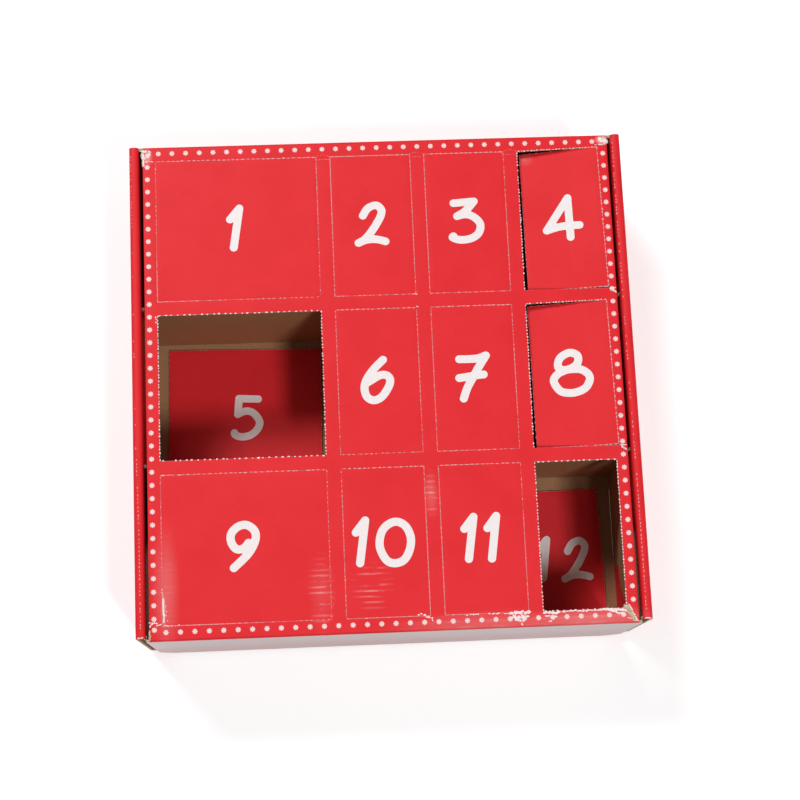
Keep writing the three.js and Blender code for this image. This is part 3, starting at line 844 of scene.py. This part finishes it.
def add_front_flap():
    low, high = mm_box("front_flap")
    straight = low[2] + FLAP_CORNER
    angles = np.linspace(0, math.pi / 2, FLAP_CORNER_STEPS + 1)[:-1]
    z = np.concatenate([low[2] + FLAP_CORNER * (1 - np.cos(angles)),
                        steps(straight, high[2] + CREASE, MESH_STEP)])
    rise = np.clip(straight - z, 0, FLAP_CORNER)
    half = high[0] - FLAP_CORNER + np.sqrt(FLAP_CORNER ** 2 - rise ** 2)
    share = np.linspace(-1, 1, FLAP_COLUMNS + 1)
    x = share[:, None] * half[None, :]
    bow = FLAP_BOW * np.sin(np.pi * (z - low[2]) / (high[2] - low[2])) * (1 - share[:, None] ** 2)
    face = points_of(x, low[1] + bow, z)
    back = face + (0, BOARD, 0)
    piece = sheet_of_board("flap_board", "flap", face, back, COATED_BOARD)
    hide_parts("front_flap")


def add_door(number, place):
    left, right, front, back = HOLES[number]
    halves = [(right - left) / 2 - DOOR_GAP, (back - front) / 2 - DOOR_GAP]
    lines = [steps(-half, half, MESH_STEP, [-half + WORN_EDGE, half - WORN_EDGE]) for half in halves]
    grid = np.meshgrid(*lines, indexing="ij")
    rim = (np.abs(grid[0]) > halves[0] - HAIR) | (np.abs(grid[1]) > halves[1] - HAIR)
    face = place(*grid, np.where(rim, -WORN_DROP, 0.0))
    under = place(*grid, np.full(rim.shape, -BOARD))
    worn = np.ones([len(line) - 1 for line in lines], bool)
    worn[1:-1, 1:-1] = False
    piece = sheet_of_board(f"door_board_{number}", f"door_{number}_body",
                           face, under, PRINTED_BOARD, worn=worn)
    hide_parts(f"door_{number}")


# Numbers


def smooth_line(points, closed):
    """Dense points of a smooth curve through the given ones."""
    before, after = (points[-1:], points[:2]) if closed else (points[:1], points[-1:])
    points = np.array([*before, *points, *after], float)
    made = []
    for a, b, c, d in zip(points, points[1:], points[2:], points[3:]):
        for t in np.linspace(0, 1, CURVE_STEPS + 1)[:-1]:
            made.append(0.5 * (2 * b + (c - a) * t + (2 * a - 5 * b + 4 * c - d) * t ** 2
                               + (3 * b - a - 3 * c + d) * t ** 3))
    return np.array(made + [points[-2]])


def stroke_pieces(digit, middle_x, middle_y, width, height):
    """Ends of the short straight pieces that a digit's strokes are made of."""
    size = np.array([width, height]) - STROKE_WIDTH
    pieces = []
    for kind, points in STROKES[digit]:
        line = np.array(points, float) if kind == "line" else smooth_line(points, kind == "loop")
        line = (line - 0.5) * size + (middle_x, middle_y)
        pieces += zip(line, line[1:])
    return pieces


def distance_to(pieces, places):
    """Distance of each place from the nearest piece of a stroke."""
    best = np.full(places.shape[:-1], np.inf)
    for start, end in pieces:
        along = end - start
        share = ((places - start) @ along) / max(along @ along, 1e-9)
        nearest = start + np.clip(share, 0, 1)[..., None] * along
        best = np.minimum(best, np.linalg.norm(places - nearest, axis=-1))
    return best


def inked_area(inside, x, y):
    """Faces that cover where the field is positive, with their rims on its zero line."""
    points, faces, known = [], [], {}

    def point_between(here, after):
        """Number of the point where the zero line passes between two corners, or of one corner."""
        (i, j), (k, m) = sorted([here, after])
        if (i, j, k, m) not in known:
            share = 0 if here == after else inside[i, j] / (inside[i, j] - inside[k, m])
            known[i, j, k, m] = len(points)
            points.append((x[i] + (x[k] - x[i]) * share, y[j] + (y[m] - y[j]) * share))
        return known[i, j, k, m]

    for i in range(len(x) - 1):
        for j in range(len(y) - 1):
            ring = [(i, j), (i + 1, j), (i + 1, j + 1), (i, j + 1)]
            made = []
            for here, after in zip(ring, ring[1:] + ring[:1]):
                if inside[here] > 0:
                    made.append(point_between(here, here))
                if (inside[here] > 0) != (inside[after] > 0):
                    made.append(point_between(here, after))
            if len(made) > 2:
                faces.append(made)
    return np.array(points), faces


def add_number(number, place):
    points, faces = [], []
    for digit, x, y, width, height in NUMBERS[number]:
        half_x, half_y = width / 2 + INK_MARGIN, height / 2 + INK_MARGIN
        grid_x = np.arange(x - half_x, x + half_x, INK_STEP)
        grid_y = np.arange(y - half_y, y + half_y, INK_STEP)
        places = np.stack(np.meshgrid(grid_x, grid_y, indexing="ij"), axis=-1)
        inside = STROKE_WIDTH / 2 - distance_to(stroke_pieces(digit, x, y, width, height), places)
        made, made_faces = inked_area(inside, grid_x, grid_y)
        faces += [[corner + len(points) for corner in face] for face in made_faces]
        points += list(made)
    points = np.array(points)
    new_piece(f"number_{number}", f"door_{number}_body",
              place(points[:, 0], points[:, 1], INK_LIFT), faces, [WHITE_PRINT])


# Scraps of torn paper


def add_scrap(heap, place, x, y, turn, size):
    """Small closed scrap that lies on a face: a ragged rim between a top and an underside. Its
    size is its length, width and thickness."""
    points, faces = heap
    length, width, thickness = (value * CHANCE.uniform(*SIZE_SHARES) / 2 for value in size)
    middle = place(x, y, SCRAP_LIFT)
    along = place(x + math.cos(turn), y + math.sin(turn), SCRAP_LIFT) - middle
    across = place(x - math.sin(turn), y + math.cos(turn), SCRAP_LIFT) - middle
    up = np.cross(along, across)
    rise = up / np.linalg.norm(up) * thickness
    start = len(points)
    for k in range(SCRAP_RIM):
        angle = 2 * math.pi * (k + CHANCE.uniform(-RIM_TURN_SHARE, RIM_TURN_SHARE)) / SCRAP_RIM
        rim = along * length * math.cos(angle) + across * width * math.sin(angle)
        points.append(middle + rim * CHANCE.uniform(*RIM_SHARES))
        here, after = start + k, start + (k + 1) % SCRAP_RIM
        faces += [[start + SCRAP_RIM, here, after], [start + SCRAP_RIM + 1, after, here]]
    points += [middle + rise, middle - rise * UNDERSIDE_SHARE]


def scraps_along(heap, place, start, end, pitch, size, keep, stray=STRAY):
    """Row of scraps at a rough pitch, some of them missing."""
    start, end = np.array(start), np.array(end)
    length = np.linalg.norm(end - start)
    count = max(1, round(length / pitch))
    turn = math.atan2(*(end - start)[::-1])
    for i in range(count):
        if CHANCE.random() > keep:
            continue
        share = (i + 0.5 + CHANCE.uniform(-PITCH_SHARE, PITCH_SHARE)) / count
        x, y = start + (end - start) * share
        x, y = x + CHANCE.uniform(-stray, stray), y + CHANCE.uniform(-stray, stray)
        add_scrap(heap, place, x, y, turn, size)


def add_scraps(name, body, lines, material):
    """Rows of scraps. Each line gives a place, a start, an end, and what its row is like."""
    heap = ([], [])
    for line in lines:
        scraps_along(heap, *line)
    points, faces = heap
    new_piece(name, body, points, faces, [material], sharp=SCRAP_SHARP_ANGLE)


def edge_lines(number, place, rows):
    """Rows of scraps along the back, right, front and left edges of a door's hole."""
    left, right, front, back = HOLES[number]
    half_x, half_y = (right - left) / 2, (back - front) / 2
    corners = [(-half_x, half_y), (half_x, half_y), (half_x, -half_y), (-half_x, -half_y)]
    edges = zip(corners, corners[1:] + corners[:1])
    return [(place, *ends, *row) for ends, row in zip(edges, rows) if row]


def add_cut_edges(number, place):
    """Paper fibres that stand along a door's perforation."""
    rows = (CUT_DASHES, CUT_SPECKS, CUT_TRACES, CUT_SPECKS)
    if number in LEANING:
        rows = (LOOSE_BEADS, CREASE_DOTS, CUT_DASHES, LOOSE_BEADS)
    if number in LOOSE_TURNS:
        rows = (LOOSE_BEADS,) * 4
    lines = edge_lines(number, place, rows)
    add_scraps(f"cut_edges_{number}", f"door_{number}_body", lines, CUT_FIBRES)


def add_torn_holes():
    """Torn fibres round the holes that stand open, and on the edges that a pushed door has left."""
    lines = []
    for number in (*LOOSE_TURNS, *LEANING):
        rows = (HOLE_BEADS, SIDE_BEADS, HOLE_BEADS, SIDE_BEADS)
        if number in LEANING:
            rows = (SIDE_BEADS, None, None, SIDE_BEADS)
        lines += edge_lines(number, level_place(number), rows)
    add_scraps("torn_hole_edges", "lid", lines, TORN)


def add_thumb_cuts():
    """Shallow arcs cut across the strips between the back doors, for a thumb."""
    lines = []
    for number in (1, 2, 3):
        left, right, back = HOLES[number][1], HOLES[number + 1][0], HOLES[number][3]
        middle_x, half = (left + right) / 2, (right - left) / 2 + THUMB_OVERLAP
        base = back - THUMB_DROP
        arc = [(middle_x + half * math.cos(angle), base + THUMB_RISE * math.sin(angle))
               for angle in np.linspace(math.pi, 0, THUMB_ARC_STEPS + 1)]
        lines += [(lid_place, *ends, *THUMB_ARC_ROW) for ends in zip(arc, arc[1:])]
        shelf = [(middle_x + end * half, base - THUMB_SHELF) for end in (-1, 1)]
        lines.append((lid_place, *shelf, *THUMB_SHELF_ROW))
    add_scraps("thumb_cuts", "lid", lines, WORN)


def add_worn_spots():
    add_scraps("paper_fluff", "lid", [(lid_place, *line) for line in FLUFF_LINES], TORN)
    add_scraps("bare_fluff", "lid", [(lid_place, *line) for line in BARE_LINES], BARE)


def roll_place(side):
    """Places on a rolled wall: x from the middle of the box, y, and height above its top."""
    def place(x, y, height):
        return points_of(side * x, y, roll_height(side, x, y) + height)
    return place


def add_roll_cracks():
    for side, name in ((-1, "left"), (1, "right")):
        place = roll_place(side)
        cracks = ROLL_CRACKS[name]
        lines = [(place, (x, y), end[:2], CRACK_PITCH, CRACK_SIZE, keep)
                 for (x, y, keep), end in zip(cracks, cracks[1:])]
        add_scraps(f"roll_cracks_{name}", "box", lines, CUT_FIBRES)
        add_scraps(f"roll_end_{name}", "box", [(place, *ROLL_END, *ROLL_END_ROW)], TORN)


# Stars


def star_places():
    places = []
    for y in STAR_ROWS_Y:
        for i in range(STAR_ROW_COUNT):
            places.append(((i - (STAR_ROW_COUNT - 1) / 2) * STAR_ROW_PITCH + STAR_ROW_SHIFT, y))
    for j in range(STAR_COLUMN_COUNT):
        places.append((-STAR_COLUMN_X, STAR_COLUMN_BACK - j * STAR_COLUMN_PITCH))
        places.append((STAR_COLUMN_X, STAR_COLUMN_BACK - (j + STAR_RIGHT_SHIFT) * STAR_COLUMN_PITCH))
    return places + CORNER_STARS


def add_stars():
    points, faces = [], []
    for x, y in star_places():
        start = len(points)
        points.append((x, y))
        for k in range(2 * STAR_POINTS):
            radius = STAR_INNER if k % 2 else STAR_OUTER
            angle = math.pi * k / STAR_POINTS
            points.append((x + radius * math.cos(angle), y + radius * math.sin(angle)))
            faces.append([start, start + 1 + k, start + 1 + (k + 1) % (2 * STAR_POINTS)])
    points = np.array(points)
    height = face_level(points[:, 0], points[:, 1]) + INK_LIFT
    new_piece("star_border", "lid", np.column_stack([points, height]), faces, [STAR_PRINT])


# Kept pieces of the frame


def dress_kept_nodes():
    """Board materials for the walls, tabs, ears and dividers that stay as they are: each with the
    axis that it faces along, and the colours of its high and its low side."""
    kept = {
        "floor_panel": ("Z", "kraft", "red"),
        "front_wall": ("Y", "kraft", "red"),
        "back_wall": ("Y", "red", "kraft"),
        "ear_left": ("X", "kraft", "pale"),
        "ear_right": ("X", "pale", "kraft"),
    }
    for end in ("front", "back"):
        kept[f"row_divider_{end}"] = ("Y", "kraft", "kraft")
        kept[f"{end}_tab_left"] = ("X", "kraft", "red")
        kept[f"{end}_tab_right"] = ("X", "red", "kraft")
    for column in ("left", "middle", "right"):
        kept[f"column_divider_{column}"] = ("X", "kraft", "kraft")
    for name, (axis, *colours) in kept.items():
        start = mm_box(name)[0]["XYZ".index(axis)]
        # Edge colours: the middle ply against a darker colour that is painted shade of the open flutes.
        # On ears and dividers both colours are dark kraft, as painted shade.
        edge = (DARK_PLY, PLY) if "wall" in name or "tab" in name else (DARK_KRAFT, SHADED_KRAFT)
        mesh = frame["nodes"][name].data
        mesh.materials.clear()
        mesh.materials.append(new_material(f"{name}_board", kept_board, axis, start, colours, edge))


# Studio


def add_camera():
    data = bpy.data.cameras.new("camera")
    data.lens = CAMERA_LENS
    data.sensor_width = SENSOR_WIDTH
    camera = new_object("camera", data)
    camera.location = Vector(CAMERA_PLACE) * MM
    camera.rotation_euler = [math.radians(angle) for angle in CAMERA_TURN]
    bpy.context.scene.camera = camera


def add_lamp(name, place, size, power):
    data = bpy.data.lights.new(name, "AREA")
    data.shape = "ELLIPSE"
    data.size, data.size_y = (side * MM for side in size)
    data.energy = power
    lamp = new_object(name, data)
    lamp.location = Vector(place) * MM
    lamp.rotation_euler = (-Vector(place)).to_track_quat("-Z", "Y").to_euler()


def glowing_white(tree, _):
    """White that also glows for the camera and in mirrors, and sheds no light."""
    seen = add(tree, "ShaderNodeLightPath").outputs
    mirrored = maths(tree, "MAXIMUM", seen["Is Glossy Ray"], seen["Is Transmission Ray"])
    glow = maths(tree, "MULTIPLY", maths(tree, "MAXIMUM", seen["Is Camera Ray"], mirrored), FLOOR_GLOW)
    surface(tree, Base_Color=opaque(FLOOR_WHITE), Roughness=0.95, Specular_IOR_Level=0.1,
            Emission_Color=(1, 1, 1, 1), Emission_Strength=glow)


def add_floor():
    mesh = bpy.data.meshes.new("floor")
    corners = [Vector((x * FLOOR_REACH, y * FLOOR_REACH, -FLOOR_DROP)) * MM
               for x, y in ((-1, -1), (1, -1), (1, 1), (-1, 1))]
    mesh.from_pydata(corners, [], [(0, 1, 2, 3)])
    mesh.materials.append(new_material("floor", glowing_white))
    floor = new_object("floor", mesh)


def light_the_world():
    world = bpy.context.scene.world or bpy.data.worlds.new("world")
    bpy.context.scene.world = world
    world.use_nodes = True
    inputs = world.node_tree.nodes["Background"].inputs
    inputs["Color"].default_value = (1, 1, 1, 1)
    inputs["Strength"].default_value = WORLD_STRENGTH


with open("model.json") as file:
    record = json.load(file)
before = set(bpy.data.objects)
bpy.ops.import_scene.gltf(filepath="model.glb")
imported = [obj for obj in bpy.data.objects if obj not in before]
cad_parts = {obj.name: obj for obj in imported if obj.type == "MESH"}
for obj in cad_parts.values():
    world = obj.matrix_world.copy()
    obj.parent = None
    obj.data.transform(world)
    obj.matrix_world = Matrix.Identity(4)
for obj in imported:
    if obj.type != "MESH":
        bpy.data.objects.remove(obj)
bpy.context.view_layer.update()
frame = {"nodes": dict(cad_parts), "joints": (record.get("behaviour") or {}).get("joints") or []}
WHITE_PRINT = new_material("white_print", pale_ink, INK, TORN_WHITE)
STAR_PRINT = new_material("star_print", pale_ink, STAR_INK, PALE_STAR_INK)
TORN = new_material("torn_paper", torn_paper, BLUSH, TORN_WHITE)
CUT_FIBRES = new_material("cut_fibres", torn_paper, BLUSH, PINK)
BARE = new_material("bare_paper", torn_paper, DARK_PLY, PLY)
RED_PRINT = new_material("red_print", red_print)
KRAFT_BOARD = new_material("kraft_board", kraft_board)
FLUTED = new_material("fluted_edge", fluted_edge, places=ON_SHEET)
LONG_EDGE = new_material("long_edge", long_edge, places=ON_SHEET)
WORN = new_material("worn_edge", worn_edge)
PRINTED_BOARD = [RED_PRINT, KRAFT_BOARD, FLUTED, LONG_EDGE, WORN]
COATED_BOARD = [new_material("pale_coating", pale_coating), KRAFT_BOARD, FLUTED, LONG_EDGE, WORN]
ROLLED_BOARD = [RED_PRINT, KRAFT_BOARD, LONG_EDGE, FLUTED, KRAFT_BOARD]
CHANCE = random.Random(12)
HOLES = door_holes()
LID_HALF_WIDTH, LID_HALF_DEPTH, LID_TOP = mm_box("lid_panel")[1]

add_camera()
add_floor()
for lamp_name, lamp_row in LAMPS.items():
    add_lamp(lamp_name, *lamp_row)
light_the_world()
dress_kept_nodes()
add_lid()
add_rolled_wall(-1)
add_rolled_wall(1)
add_front_flap()
for door_number in HOLES:
    on_door = door_place(door_number)
    add_door(door_number, on_door)
    add_number(door_number, on_door)
    add_cut_edges(door_number, on_door)
add_stars()
add_torn_holes()
add_thumb_cuts()
add_worn_spots()
add_roll_cracks()
bpy.context.scene.view_settings.view_transform = "Standard"
